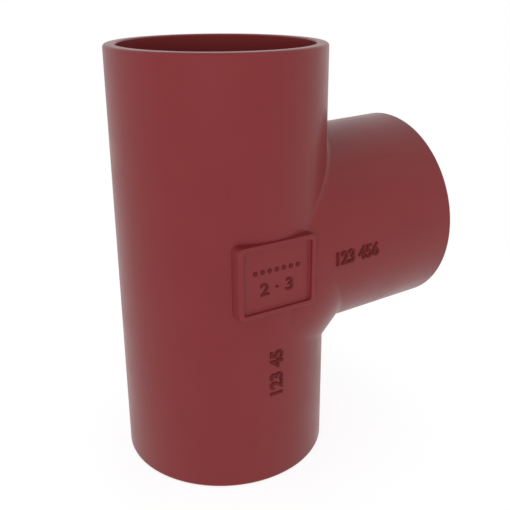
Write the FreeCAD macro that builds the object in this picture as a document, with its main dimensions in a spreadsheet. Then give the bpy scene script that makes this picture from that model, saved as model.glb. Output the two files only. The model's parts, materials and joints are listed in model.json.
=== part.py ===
"""Cast-iron drain branch: a straight run with one equal side branch, cast in one piece.

The run stands on its lower rim, at the origin, and rises along +Z. The branch leaves it towards
+X and climbs a little. All three ends are plain spigots, and a sunk marking plate sits on the
-Y side, where the axes cross. The cavity is modelled as the foundry makes it: a core of the
same form as the outside, thinner by the wall. Lengths are in millimetres and angles in degrees.
"""
import FreeCAD
import Part
import Sketcher
import math
import os

# Driving dimensions. A leg runs from the point where the axes cross to the end of a spigot.
SIZES = {
    "pipe_diameter": 110.0,
    "wall": 6.0,
    "lower_leg": 115.0,
    "upper_leg": 105.0,
    "branch_leg": 115.0,
    "branch_rise": 2.0,
    "throat_offset": 34.5,
    "throat_ease": 0.6,
    "root_reach": 12.0,
    "root_ease": 0.3,
    "joint_blend": 4.0,
    "bore_blend": 4.0,
    "rim_bevel": 0.95,
    "rim_ease": 0.35,
    "bore_bevel": 0.6,
    "plate_width": 43.0,
    "plate_height": 36.5,
    "plate_proud": 1.8,
    "plate_draft": 6.0,
    "plate_corner": 2.5,
    "plate_edge": 0.7,
    "field_margin": 2.2,
    "field_corner": 1.5,
    "field_depth": 1.8,
    "field_draft": 12.0,
    "field_edge": 0.5,
}
# How far the core runs on past each spigot that it opens.
OVERRUN = 1.0
# Two lengths that differ by less than this count as equal.
TOUCH = 0.01
# How far round from the branch the seam of the run's wall lies, in degrees.
SEAM_TURN = 135

ORIGIN = FreeCAD.Vector(0, 0, 0)
UP = FreeCAD.Vector(0, 0, 1)


def make_sheet(doc):
    """Writes the driving dimensions into the spreadsheet that every feature reads."""
    sheet = doc.addObject("Spreadsheet::Sheet", "sizes")
    for row, (name, value) in enumerate(SIZES.items(), start=1):
        sheet.set(f"A{row}", name)
        sheet.set(f"B{row}", str(value))
        sheet.setAlias(f"B{row}", name)
    doc.recompute()
    return sheet


def new_sketch(body, name, role):
    """Starts a sketch on one of the body's own origin planes."""
    sketch = body.newObject("Sketcher::SketchObject", name)
    plane = next(feature for feature in body.Origin.OriginFeatures if feature.Role == role)
    sketch.AttachmentSupport = [(plane, "")]
    sketch.MapMode = "FlatFace"
    return sketch


def dimension(sketch, name, expression, *constraint):
    """Adds a named dimension to a sketch and binds it to the sheet."""
    index = sketch.addConstraint(Sketcher.Constraint(*constraint))
    sketch.renameConstraint(index, name)
    sketch.setExpression(f"Constraints.{name}", expression)


def circle_sketch(body, name, radius, drop):
    """Draws a circle about the run's axis, at a distance below the lower rim.

    The sketch is turned, so that the seam of the run's wall lies clear of the branch's joint.
    """
    sketch = new_sketch(body, name, "XY_Plane")
    sketch.AttachmentOffset = FreeCAD.Placement(UP * -drop, FreeCAD.Rotation(UP, SEAM_TURN))
    start = SIZES["pipe_diameter"] / 2
    circle = sketch.addGeometry(Part.Circle(ORIGIN, UP, start))
    sketch.addConstraint(Sketcher.Constraint("Coincident", circle, 3, -1, 1))
    dimension(sketch, "radius", radius, "Radius", circle, start)
    return sketch


def tube_sketch(body, name, start_height, reach, radius, root_radius=None):
    """Draws the half section of a slanting tube in the plane that holds all the axes.

    The tube's axis starts on the run's axis at start_height, and ends on the branch's axis at
    the distance reach from the point where the two axes cross. With a root radius, the tube
    narrows to it from a little outside the run.
    """
    sketch = new_sketch(body, name, "XZ_Plane")
    rise = math.radians(SIZES["branch_rise"])
    cross = FreeCAD.Vector(0, SIZES["lower_leg"], 0)
    start = FreeCAD.Vector(0, SIZES["lower_leg"] / 2, 0)
    end = cross + FreeCAD.Vector(math.cos(rise), math.sin(rise), 0) * SIZES["branch_leg"]
    out = FreeCAD.Vector(-SIZES["wall"], SIZES["wall"], 0)
    axis = sketch.addGeometry(Part.LineSegment(start, end), True)
    branch = sketch.addGeometry(Part.LineSegment(cross, end), True)
    inner = sketch.addGeometry(Part.LineSegment(start, end))
    far = sketch.addGeometry(Part.LineSegment(end, end + out))
    outer = sketch.addGeometry(Part.LineSegment(end + out, start + out))
    near = sketch.addGeometry(Part.LineSegment(start + out, start))
    sketch.addConstraint([
        Sketcher.Constraint("Coincident", inner, 1, axis, 1),
        Sketcher.Constraint("Coincident", inner, 2, axis, 2),
        Sketcher.Constraint("Coincident", branch, 2, axis, 2),
        Sketcher.Constraint("Coincident", far, 1, inner, 2),
        Sketcher.Constraint("Coincident", outer, 1, far, 2),
        Sketcher.Constraint("Coincident", near, 2, inner, 1),
        Sketcher.Constraint("PointOnObject", axis, 1, -2),
        Sketcher.Constraint("PointOnObject", branch, 1, -2),
        Sketcher.Constraint("Perpendicular", far, axis),
        Sketcher.Constraint("Perpendicular", near, axis),
        Sketcher.Constraint("Parallel", outer, axis),
    ])
    dimension(sketch, "start_height", start_height, "DistanceY", -1, 1, axis, 1, start.y)
    dimension(sketch, "crossing", "sizes.lower_leg", "DistanceY", -1, 1, branch, 1, cross.y)
    dimension(sketch, "reach", reach, "Distance", branch, SIZES["branch_leg"])
    dimension(sketch, "rise", "sizes.branch_rise * 1 deg", "Angle", branch, rise)
    dimension(sketch, "radius", radius, "Distance", far, SIZES["wall"])
    if root_radius is None:
        sketch.addConstraint(Sketcher.Constraint("Coincident", near, 1, outer, 2))
    else:
        narrow(sketch, axis, outer, near, root_radius)
    return sketch


def narrow(sketch, axis, outer, near, root_radius):
    """Joins a tube's outer line to its near end with a line that leans in, the tube's root."""
    start = sketch.Geometry[axis].StartPoint
    middle = (start + sketch.Geometry[axis].EndPoint) / 2
    corner = sketch.Geometry[near].StartPoint
    shoulder = middle + corner - start
    root = sketch.addGeometry(Part.LineSegment(shoulder, corner))
    rung = sketch.addGeometry(Part.LineSegment(middle, shoulder), True)
    sketch.addConstraint([
        Sketcher.Constraint("Coincident", root, 1, outer, 2),
        Sketcher.Constraint("Coincident", near, 1, root, 2),
        Sketcher.Constraint("PointOnObject", rung, 1, axis),
        Sketcher.Constraint("Coincident", rung, 2, root, 1),
        Sketcher.Constraint("Perpendicular", rung, axis),
    ])
    dimension(sketch, "root_length", "sizes.pipe_diameter / 2 + sizes.root_reach",
              "Distance", axis, 1, rung, 1, start.distanceToPoint(middle))
    dimension(sketch, "root_radius", root_radius, "Distance", near, SIZES["wall"])


def plate_sketch(body, name, width, height, corner):
    """Draws a rectangle with round corners in the front plane of the marking plate."""
    sketch = new_sketch(body, name, "XZ_Plane")
    sketch.setExpression("AttachmentOffset.Base.y", "sizes.lower_leg")
    sketch.setExpression("AttachmentOffset.Base.z", "sizes.pipe_diameter / 2 + sizes.plate_proud")
    w = SIZES["plate_width"] / 2
    v = SIZES["plate_height"] / 2
    r = SIZES["plate_corner"]
    centres = [(w - r, v - r), (r - w, v - r), (r - w, r - v), (w - r, r - v)]
    arcs = []
    for quarter, (x, y) in enumerate(centres):
        circle = Part.Circle(FreeCAD.Vector(x, y, 0), UP, r)
        first = quarter * math.pi / 2
        arcs.append(sketch.addGeometry(Part.ArcOfCircle(circle, first, first + math.pi / 2)))
    sides = []
    for first, second in zip(arcs, arcs[1:] + arcs[:1]):
        start = sketch.Geometry[first].EndPoint
        end = sketch.Geometry[second].StartPoint
        side = sketch.addGeometry(Part.LineSegment(start, end))
        sketch.addConstraint(Sketcher.Constraint("Tangent", first, 2, side, 1))
        sketch.addConstraint(Sketcher.Constraint("Tangent", side, 2, second, 1))
        sides.append(side)
    top, left, bottom, right = sides
    sketch.addConstraint([
        Sketcher.Constraint("Horizontal", top),
        Sketcher.Constraint("Horizontal", bottom),
        Sketcher.Constraint("Vertical", left),
        Sketcher.Constraint("Vertical", right),
        Sketcher.Constraint("Symmetric", arcs[0], 3, arcs[2], 3, -1, 1),
        Sketcher.Constraint("Equal", arcs[0], arcs[1]),
        Sketcher.Constraint("Equal", arcs[0], arcs[2]),
        Sketcher.Constraint("Equal", arcs[0], arcs[3]),
    ])
    dimension(sketch, "width", width, "DistanceX", left, 1, right, 1, 2 * w)
    dimension(sketch, "height", height, "DistanceY", bottom, 1, top, 1, 2 * v)
    dimension(sketch, "corner", corner, "Radius", arcs[0], r)
    return sketch


def turn(body, kind, name, sketch):
    """Turns a tube's half section about its axis, to add metal or to take it away."""
    feature = body.newObject(kind, name)
    feature.Profile = sketch
    feature.ReferenceAxis = (sketch, ["Axis0"])
    feature.Angle = 360
    return feature


def dress(body, kind, name, dimension_name, size, chosen):
    """Treats the chosen edges of the last feature, with a size from the sheet."""
    body.Document.recompute()
    base = body.Tip
    edges = [
        f"Edge{number}"
        for number, edge in enumerate(base.Shape.Edges, start=1)
        if not edge.Degenerated and chosen(edge)
    ]
    feature = body.newObject(kind, name)
    feature.Base = (base, edges)
    feature.setExpression(dimension_name, size)
    return feature


def blend(body, name, radius, chosen):
    """Rounds the chosen edges."""
    return dress(body, "PartDesign::Fillet", name, "Radius", radius, chosen)


def bevel(body, name, size, chosen):
    """Bevels the chosen edges, by the same distance on both sides."""
    return dress(body, "PartDesign::Chamfer", name, "Size", size, chosen)


def is_crease(edge):
    """Tells a curve where two of the run, the branch and the throat meet."""
    return isinstance(edge.Curve, Part.BSplineCurve)


def is_rim(*radii):
    """Makes a test that tells the full circles of these radii that end the spigots."""
    rise = math.radians(SIZES["branch_rise"])
    along = FreeCAD.Vector(math.cos(rise), 0, math.sin(rise))
    top = SIZES["lower_leg"] + SIZES["upper_leg"]
    ends = [ORIGIN, UP * top, UP * SIZES["lower_leg"] + along * SIZES["branch_leg"]]
    near = SIZES["rim_bevel"] + TOUCH

    def chosen(edge):
        if not isinstance(edge.Curve, Part.Circle) or not edge.isClosed():
            return False
        at_end = any(edge.Curve.Center.distanceToPoint(end) < near for end in ends)
        return at_end and any(math.isclose(edge.Curve.Radius, radius) for radius in radii)
    return chosen


def is_front(depth):
    """Makes a test that tells the edges in a plane at one depth behind the plate's front."""
    y = depth - SIZES["pipe_diameter"] / 2 - SIZES["plate_proud"]

    def chosen(edge):
        box = edge.BoundBox
        return abs(box.YMin - y) < TOUCH and abs(box.YMax - y) < TOUCH
    return chosen


def add_tubes(body, radius, overrun, blend_size):
    """Builds the run, the branch and the slanting throat below them, and rounds their joints.

    The throat and the branch's root are a little thinner than the run, so that no two of the
    three touch without an angle between them, where a round would have no width.
    """
    run = body.newObject("PartDesign::Pad", "run")
    run.Profile = circle_sketch(body, "run_outline", radius, overrun)
    run.setExpression("Length", f"sizes.lower_leg + sizes.upper_leg + 2 * {overrun}")
    branch = tube_sketch(body, "branch_outline", "sizes.lower_leg", f"sizes.branch_leg + {overrun}",
                         radius, radius + " - sizes.root_ease")
    turn(body, "PartDesign::Revolution", "branch", branch)
    throat = tube_sketch(body, "throat_outline", "sizes.lower_leg - sizes.throat_offset",
                         "sizes.throat_offset", radius + " - sizes.throat_ease")
    turn(body, "PartDesign::Revolution", "throat", throat)
    blend(body, "joint_rounds", blend_size, is_crease)


def add_plate(body):
    """Adds the marking plate with its drafted sides, and sinks its field."""
    plate = body.newObject("PartDesign::Pad", "plate")
    plate.Profile = plate_sketch(body, "plate_outline", "sizes.plate_width", "sizes.plate_height",
                                 "sizes.plate_corner")
    plate.Reversed = True
    plate.setExpression("Length", "sizes.pipe_diameter / 2 + sizes.plate_proud")
    plate.setExpression("TaperAngle", "sizes.plate_draft * 1 deg")
    blend(body, "plate_round", "sizes.plate_edge", is_front(0))
    field = body.newObject("PartDesign::Pocket", "field")
    field.Profile = plate_sketch(body, "field_outline", "sizes.plate_width - 2 * sizes.field_margin",
                                 "sizes.plate_height - 2 * sizes.field_margin", "sizes.field_corner")
    field.setExpression("Length", "sizes.field_depth")
    field.setExpression("TaperAngle", "-sizes.field_draft * 1 deg")
    blend(body, "field_round", "sizes.field_edge", is_front(SIZES["field_depth"]))


def hollow(body, core):
    """Takes the core's form out of the casting, which leaves the same wall all round."""
    cavity = body.newObject("PartDesign::Boolean", "cavity")
    cavity.setObjects([core])
    cavity.Type = "Cut"


def finish_rims(body):
    """Bevels the three rims, and eases the bevel's own edges so that it reads as a round."""
    outside = SIZES["pipe_diameter"] / 2
    flat = outside - SIZES["rim_bevel"]
    bevel(body, "bore_bevels", "sizes.bore_bevel", is_rim(outside - SIZES["wall"]))
    bevel(body, "rim_bevels", "sizes.rim_bevel", is_rim(outside))
    bevel(body, "rim_easings", "sizes.rim_ease", is_rim(outside, flat))


def check(doc, body):
    """Stops the build where a feature failed, or the casting isn't one sound solid."""
    for thing in doc.Objects:
        if "Invalid" in thing.State or "Error" in thing.State:
            raise RuntimeError(f"{thing.Name} did not build")
        if thing.isDerivedFrom("Part::Feature"):
            if thing.Shape.isNull() or not thing.Shape.isValid():
                raise RuntimeError(f"{thing.Name} has no sound shape")
    if len(body.Shape.Solids) != 1:
        raise RuntimeError("the casting is not one solid")


def main():
    """Builds the casting, checks it and writes it as one part."""
    doc = FreeCAD.newDocument("pipe_branch")
    make_sheet(doc)
    core = doc.addObject("PartDesign::Body", "core")
    add_tubes(core, "sizes.pipe_diameter / 2 - sizes.wall", OVERRUN, "sizes.bore_blend")
    body = doc.addObject("PartDesign::Body", "branch_casting")
    add_tubes(body, "sizes.pipe_diameter / 2", 0, "sizes.joint_blend")
    add_plate(body)
    hollow(body, core)
    finish_rims(body)
    doc.recompute()
    check(doc, body)
    os.makedirs("parts", exist_ok=True)
    body.Shape.Solids[0].exportStep("parts/branch_casting.step")


main()
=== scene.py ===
"""Dresses the cast-iron pipe branch: satin primer, raised characters, studio and camera.

Everything is in metres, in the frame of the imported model: the run stands on its lower rim at the
origin and rises along +Z, the branch leaves towards +X, and the marking plate faces -Y.
"""
import json
import math

import bmesh
import bpy
from mathutils import Euler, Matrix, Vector


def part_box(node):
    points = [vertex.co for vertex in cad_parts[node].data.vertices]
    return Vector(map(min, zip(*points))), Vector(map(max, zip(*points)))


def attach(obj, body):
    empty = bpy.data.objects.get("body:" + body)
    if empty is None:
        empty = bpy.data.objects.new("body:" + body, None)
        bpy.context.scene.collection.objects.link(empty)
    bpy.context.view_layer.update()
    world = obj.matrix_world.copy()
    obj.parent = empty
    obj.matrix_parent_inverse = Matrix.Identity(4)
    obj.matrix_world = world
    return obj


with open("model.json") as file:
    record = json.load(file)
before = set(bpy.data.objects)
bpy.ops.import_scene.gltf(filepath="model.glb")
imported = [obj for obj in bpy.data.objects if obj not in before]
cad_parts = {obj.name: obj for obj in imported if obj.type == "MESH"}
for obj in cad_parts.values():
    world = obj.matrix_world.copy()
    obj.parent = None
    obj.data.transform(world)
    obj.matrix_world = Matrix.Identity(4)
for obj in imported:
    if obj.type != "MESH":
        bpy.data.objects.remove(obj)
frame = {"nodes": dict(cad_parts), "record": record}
casting = frame["nodes"]["branch_casting"]
low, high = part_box("branch_casting")
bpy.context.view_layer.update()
mounts = {mount["name"]: mount for mount in frame["record"]["mounts"]}

MM = 0.001

# The camera that matches the photograph, from a fit of the outline.
CAMERA_PLACE = Vector((-0.17438, -0.32496, 0.25079))
CAMERA_TURN = Euler((math.radians(70.311), math.radians(0.039), math.radians(-32.151)))
CAMERA_LENS = 51.5007
CAMERA_SHIFT = (-0.02623, -0.03765)
SENSOR = 36.0
# The nearest and the farthest distance that the camera sees.
CAMERA_REACH = (0.01, 50.0)

# The pipe's own lines and radii.
RUN_AXIS = Vector((0, 0, 1))
BRANCH_AXIS = Vector(mounts["branch_rim"]["axis"]).normalized()
BRANCH_END = Vector(mounts["branch_rim"]["pos_m"])
CROSSING = BRANCH_END - BRANCH_AXIS * (BRANCH_END.x / BRANCH_AXIS.x)
RADIUS = high.y
BORE_RADIUS = mounts["run_bore"]["dims"]["r_mm"] * MM
FRONT = Vector((0, -1, 0))
FIELD_DEPTH = 1.8 * MM
FIELD = low.y + FIELD_DEPTH

# The raised marks: each is a little sunk in what carries it, and stands proud of it.
SINK = 0.3 * MM
PROUD = 0.6 * MM
# The rounding of the characters' edges, its steps, and the steps of a curve in their outline.
CHAR_EDGE = 0.18 * MM
CHAR_EDGE_STEPS = 2
CHAR_CURVE_STEPS = 5
# The height of a digit in the font, as a share of the font's size.
FONT_CAP = 0.70
# Each row of characters: its text, width and height, and how far its outlines move outwards.
PLATE_DIGITS = ("2 · 3", 18.5 * MM, 6.1 * MM, -0.05 * MM)
BRANCH_DIGITS = ("123 456", 27.2 * MM, 6.9 * MM, 0.10 * MM)
RUN_DIGITS = ("123 45", 25 * MM, 6.9 * MM, 0.10 * MM)
# The row of pips: how many they are, how far apart, and their radius.
PLATE_PIPS = (7, 4.0 * MM, 1.3 * MM)
# A pip's section from its foot inwards, as shares of its radius and of its height.
PIP_SECTION = [(1.0, 0.0), (0.97, 0.5), (0.80, 0.82), (0.45, 0.97)]
PIP_SIDES = 20
# Where the rows' middles lie: below and above the crossing, along the branch, and up the run.
PLATE_DIGITS_DROP = 5 * MM
PLATE_PIPS_RISE = 4 * MM
BRANCH_DIGITS_ALONG = 49.5 * MM
RUN_DIGITS_HEIGHT = 63.0 * MM

# The primer's three noises, and the bumps that the grain and the orange peel give.
CLOUD = {"Scale": 45.0, "Detail": 3.0, "Roughness": 0.55}
GRAIN = {"Scale": 900.0, "Detail": 2.0, "Roughness": 0.5}
PEEL = {"Scale": 160.0, "Detail": 1.0, "Roughness": 0.4}
GRAIN_BUMP = {"Strength": 0.05, "Distance": 0.05 * MM}
PEEL_BUMP = {"Strength": 0.10, "Distance": 0.10 * MM}
# The part of the cloud noise over which the roughness changes, and how far it goes either way.
CLOUD_RANGE = (0.3, 0.7)
ROUGHNESS_SPREAD = 0.03
# The roughness and the index of refraction, on the casting and on the raised marks.
CASTING_GLOSS = (0.34, 1.36)
MARK_GLOSS = (0.75, 1.20)

# The studio. The floor and the surroundings are white to the camera and in reflections.
WORLD_LIGHT = 0.58
WHITE = 1.0
LAMP_AIM = Vector((0.02, 0, 0.11))
LAMP_SIZE = (1.2, 0.5)
# Each lamp: where it stands, and its power.
LAMPS = {
    "front_lamp": ((-1.24, -1.50, 0.26), 16.0),
    "side_lamp": ((1.65, -1.03, 0.26), 5.0),
    "back_lamp": ((0.95, 1.70, 0.26), 9.5),
    "far_lamp": ((-1.70, 0.95, 0.26), 4.0),
}
FLOOR_REACH = 8.0
# How much of the floor's own light and shade shows, and the white that the rest of it gives.
FLOOR_SHADE = 0.30
FLOOR_WHITE = 1.22
# How far from the run's axis the floor's shade begins and ends to fade into plain white.
FADE_START = 0.22
FADE_END = 0.50


def linear(red, green, blue):
    """Turns a colour as it is seen, from 0 to 255, into the shader's linear values."""
    def one(value):
        value /= 255
        return value / 12.92 if value <= 0.04045 else ((value + 0.055) / 1.055) ** 2.4
    return one(red), one(green), one(blue), 1.0


PRIMER = linear(126, 41, 43)
PRIMER_WORN = linear(120, 38, 40)
# The raised marks are a darker red than the primer: painted shade that stands in for the shade on
# and around raised cast characters. The second colour adds random mottling at that darker level.
MARK_PAINTED_SHADE = linear(102, 38, 39)
MARK_MOTTLE_PAINTED_SHADE = linear(96, 35, 36)
FLOOR = linear(238, 238, 238)


# Materials

def new_material(name):
    """Starts a node material and returns it with its tree and its main shader."""
    material = bpy.data.materials.new(name)
    material.use_nodes = True
    tree = material.node_tree
    return material, tree, tree.nodes["Principled BSDF"]


def add_node(tree, kind, inputs=None, **settings):
    """Adds a node, with the values of its sockets in inputs and its properties in settings."""
    node = tree.nodes.new(kind)
    for name, value in settings.items():
        setattr(node, name, value)
    for name, value in (inputs or {}).items():
        node.inputs[name].default_value = value
    return node


def add_range(tree, ends, results, **settings):
    """Adds a node that turns one range of a value into another."""
    inputs = {
        "From Min": ends[0],
        "From Max": ends[1],
        "To Min": results[0],
        "To Max": results[1],
    }
    return add_node(tree, "ShaderNodeMapRange", inputs, **settings)


def seen_directly(tree):
    """Returns a socket that is 1 for the camera and for reflections, and 0 for all other light."""
    ray = add_node(tree, "ShaderNodeLightPath")
    seen = add_node(tree, "ShaderNodeMath", operation="MAXIMUM")
    tree.links.new(ray.outputs["Is Camera Ray"], seen.inputs[0])
    tree.links.new(ray.outputs["Is Glossy Ray"], seen.inputs[1])
    return seen.outputs["Value"]


def primer_material(name, colour, second_colour, gloss):
    """Satin primer on a sand-cast skin: faint mottling, a fine grain and soft orange peel."""
    material, tree, shader = new_material(name)
    roughness, index = gloss
    shader.inputs["IOR"].default_value = index
    place = add_node(tree, "ShaderNodeTexCoord")
    cloud = add_node(tree, "ShaderNodeTexNoise", CLOUD)
    grain = add_node(tree, "ShaderNodeTexNoise", GRAIN)
    peel = add_node(tree, "ShaderNodeTexNoise", PEEL)
    tone = add_node(tree, "ShaderNodeMix", data_type="RGBA")
    tone.inputs["A"].default_value = colour
    tone.inputs["B"].default_value = second_colour
    spread = (roughness - ROUGHNESS_SPREAD, roughness + ROUGHNESS_SPREAD)
    satin = add_range(tree, CLOUD_RANGE, spread)
    fine = add_node(tree, "ShaderNodeBump", GRAIN_BUMP)
    broad = add_node(tree, "ShaderNodeBump", PEEL_BUMP)
    links = tree.links
    for texture in (cloud, grain, peel):
        links.new(place.outputs["Object"], texture.inputs["Vector"])
    links.new(cloud.outputs["Fac"], tone.inputs["Factor"])
    links.new(tone.outputs["Result"], shader.inputs["Base Color"])
    links.new(cloud.outputs["Fac"], satin.inputs["Value"])
    links.new(satin.outputs["Result"], shader.inputs["Roughness"])
    links.new(peel.outputs["Fac"], broad.inputs["Height"])
    links.new(grain.outputs["Fac"], fine.inputs["Height"])
    links.new(broad.outputs["Normal"], fine.inputs["Normal"])
    links.new(fine.outputs["Normal"], shader.inputs["Normal"])
    return material


def floor_material():
    """Pale studio floor that keeps the shadow near the branch and is plain white further out.

    The round of floor inside the run has only its own light and shade.
    """
    material, tree, shader = new_material("studio_floor")
    shader.inputs["Base Color"].default_value = FLOOR
    shader.inputs["Roughness"].default_value = 1.0
    shader.inputs["Specular IOR Level"].default_value = 0.0
    place = add_node(tree, "ShaderNodeTexCoord")
    distance = add_node(tree, "ShaderNodeVectorMath", operation="LENGTH")
    fade = add_range(tree, (FADE_START, FADE_END), (0, 1), interpolation_type="SMOOTHSTEP")
    share = add_range(tree, (BORE_RADIUS, RADIUS), (1, FLOOR_SHADE))
    white = add_node(tree, "ShaderNodeEmission", {"Strength": FLOOR_WHITE})
    near = add_node(tree, "ShaderNodeMixShader")
    far = add_node(tree, "ShaderNodeEmission", {"Strength": WHITE})
    faded = add_node(tree, "ShaderNodeMixShader")
    shown = add_node(tree, "ShaderNodeMixShader")
    links = tree.links
    links.new(place.outputs["Object"], distance.inputs[0])
    links.new(distance.outputs["Value"], fade.inputs["Value"])
    links.new(distance.outputs["Value"], share.inputs["Value"])
    links.new(share.outputs["Result"], near.inputs[0])
    links.new(white.outputs["Emission"], near.inputs[1])
    links.new(shader.outputs["BSDF"], near.inputs[2])
    links.new(fade.outputs["Result"], faded.inputs[0])
    links.new(near.outputs["Shader"], faded.inputs[1])
    links.new(far.outputs["Emission"], faded.inputs[2])
    links.new(seen_directly(tree), shown.inputs[0])
    links.new(shader.outputs["BSDF"], shown.inputs[1])
    links.new(faded.outputs["Shader"], shown.inputs[2])
    links.new(shown.outputs["Shader"], tree.nodes["Material Output"].inputs["Surface"])
    return material


# Raised marks

def add_piece(name, mesh, place, material):
    """Makes a piece of a flat mesh that place puts on the casting, and that rides with it."""
    for vertex in mesh.vertices:
        vertex.co = place(vertex.co)
    for polygon in mesh.polygons:
        polygon.use_smooth = False
    mesh.update()
    mesh.materials.clear()
    mesh.materials.append(material)
    piece = bpy.data.objects.new(name, mesh)
    bpy.context.scene.collection.objects.link(piece)
    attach(piece, "root")


def character_mesh(text, width, height, weight):
    """Makes raised characters that lie in the XY plane, centred, with their back at z = 0."""
    curve = bpy.data.curves.new("characters", "FONT")
    curve.body = text
    curve.align_x = "CENTER"
    curve.size = height / FONT_CAP
    curve.offset = weight
    curve.extrude = (SINK + PROUD) / 2 - CHAR_EDGE
    curve.bevel_depth = CHAR_EDGE
    curve.bevel_resolution = CHAR_EDGE_STEPS
    curve.resolution_u = CHAR_CURVE_STEPS
    maker = bpy.data.objects.new("characters", curve)
    bpy.context.scene.collection.objects.link(maker)
    graph = bpy.context.evaluated_depsgraph_get()
    mesh = bpy.data.meshes.new_from_object(maker.evaluated_get(graph))
    bpy.data.objects.remove(maker)
    xs = [vertex.co.x for vertex in mesh.vertices]
    ys = [vertex.co.y for vertex in mesh.vertices]
    back = min(vertex.co.z for vertex in mesh.vertices)
    middle = Vector(((min(xs) + max(xs)) / 2, (min(ys) + max(ys)) / 2, back))
    stretch = width / (max(xs) - min(xs))
    for vertex in mesh.vertices:
        vertex.co -= middle
        vertex.co.x *= stretch
    return mesh


def pip_mesh(count, pitch, radius):
    """Makes a straight row of low round pips with a soft edge, in the XY plane."""
    shape = bmesh.new()
    for number in range(count):
        centre = (number - (count - 1) / 2) * pitch
        rings = []
        for share, rise in PIP_SECTION:
            ring = []
            for side in range(PIP_SIDES):
                angle = 2 * math.pi * side / PIP_SIDES
                ring.append(shape.verts.new((
                    centre + radius * share * math.cos(angle),
                    radius * share * math.sin(angle),
                    rise * (SINK + PROUD),
                )))
            rings.append(ring)
        top = shape.verts.new((centre, 0, SINK + PROUD))
        for lower, upper in zip(rings, rings[1:]):
            for side in range(PIP_SIDES):
                after = (side + 1) % PIP_SIDES
                shape.faces.new((lower[side], lower[after], upper[after], upper[side]))
        for side in range(PIP_SIDES):
            shape.faces.new((rings[-1][side], rings[-1][(side + 1) % PIP_SIDES], top))
        shape.faces.new(list(reversed(rings[0])))
    mesh = bpy.data.meshes.new("pips")
    shape.to_mesh(mesh)
    shape.free()
    return mesh


def on_plate(height):
    """Places flat work on the plate's field, at a height above the floor."""
    def place(point):
        return Vector((point.x, FIELD + SINK - point.z, height + point.y))
    return place


def on_branch(along):
    """Wraps flat work round the branch's side, at a distance along it from the crossing."""
    up = BRANCH_AXIS.cross(FRONT)
    if up.z < 0:
        up = -up

    def place(point):
        angle = point.y / RADIUS
        out = FRONT * math.cos(angle) + up * math.sin(angle)
        return CROSSING + BRANCH_AXIS * (along + point.x) + out * (RADIUS - SINK + point.z)
    return place


def on_run(height):
    """Wraps flat work round the run's front so that it reads upwards from a height."""
    def place(point):
        angle = -point.y / RADIUS
        out = Vector((math.sin(angle), -math.cos(angle), 0))
        return RUN_AXIS * (height + point.x) + out * (RADIUS - SINK + point.z)
    return place


def add_marks():
    """Adds the digits and the pips on the plate, and the digits on the branch and the run."""
    # The marks' colours are darker than the primer's: painted shade on the raised characters and
    # pips.
    material = primer_material("character_primer_painted_shade", MARK_PAINTED_SHADE, MARK_MOTTLE_PAINTED_SHADE, MARK_GLOSS)
    marks = [
        ("plate_digits", character_mesh(*PLATE_DIGITS), on_plate(CROSSING.z - PLATE_DIGITS_DROP)),
        ("plate_pips", pip_mesh(*PLATE_PIPS), on_plate(CROSSING.z + PLATE_PIPS_RISE)),
        ("branch_digits", character_mesh(*BRANCH_DIGITS), on_branch(BRANCH_DIGITS_ALONG)),
        ("run_digits", character_mesh(*RUN_DIGITS), on_run(RUN_DIGITS_HEIGHT)),
    ]
    for name, mesh, place in marks:
        add_piece(name, mesh, place, material)


# Studio

def add_floor():
    """Lays the pale floor that the branch stands on."""
    mesh = bpy.data.meshes.new("studio_floor")
    sides = [(-1, -1), (1, -1), (1, 1), (-1, 1)]
    corners = [(x * FLOOR_REACH, y * FLOOR_REACH, 0) for x, y in sides]
    mesh.from_pydata(corners, [], [(0, 1, 2, 3)])
    mesh.materials.append(floor_material())
    floor = bpy.data.objects.new("studio_floor", mesh)
    bpy.context.scene.collection.objects.link(floor)


def add_world():
    """White all round for the camera and for reflections, and a plain level for the light."""
    world = bpy.data.worlds.new("studio")
    bpy.context.scene.world = world
    world.use_nodes = True
    tree = world.node_tree
    back = tree.nodes["Background"]
    back.inputs["Color"].default_value = (1, 1, 1, 1)
    level = add_range(tree, (0, 1), (WORLD_LIGHT, WHITE))
    tree.links.new(seen_directly(tree), level.inputs["Value"])
    tree.links.new(level.outputs["Result"], back.inputs["Strength"])


def add_lamp(name, place, power):
    """Adds a soft lamp that shines at the branch and stays out of reflections."""
    lamp = bpy.data.lights.new(name, "AREA")
    lamp.shape = "RECTANGLE"
    lamp.size, lamp.size_y = LAMP_SIZE
    lamp.energy = power
    holder = bpy.data.objects.new(name, lamp)
    holder.location = place
    holder.rotation_euler = (LAMP_AIM - Vector(place)).to_track_quat("-Z", "Y").to_euler()
    holder.visible_glossy = False
    bpy.context.scene.collection.objects.link(holder)


def add_camera():
    """Stands the camera where the photograph was taken from."""
    lens = bpy.data.cameras.new("camera")
    lens.lens = CAMERA_LENS
    lens.sensor_width = SENSOR
    lens.shift_x, lens.shift_y = CAMERA_SHIFT
    lens.clip_start, lens.clip_end = CAMERA_REACH
    camera = bpy.data.objects.new("camera", lens)
    camera.location = CAMERA_PLACE
    camera.rotation_euler = CAMERA_TURN
    bpy.context.scene.collection.objects.link(camera)
    bpy.context.scene.camera = camera


def main():
    """Paints the casting, adds the marks, the studio and the camera."""
    paint = primer_material("casting_primer", PRIMER, PRIMER_WORN, CASTING_GLOSS)
    for slot in casting.material_slots:
        slot.material = paint
    add_marks()
    add_floor()
    add_world()
    for name, (place, power) in LAMPS.items():
        add_lamp(name, place, power)
    add_camera()
    bpy.context.scene.view_settings.view_transform = "Standard"


main()
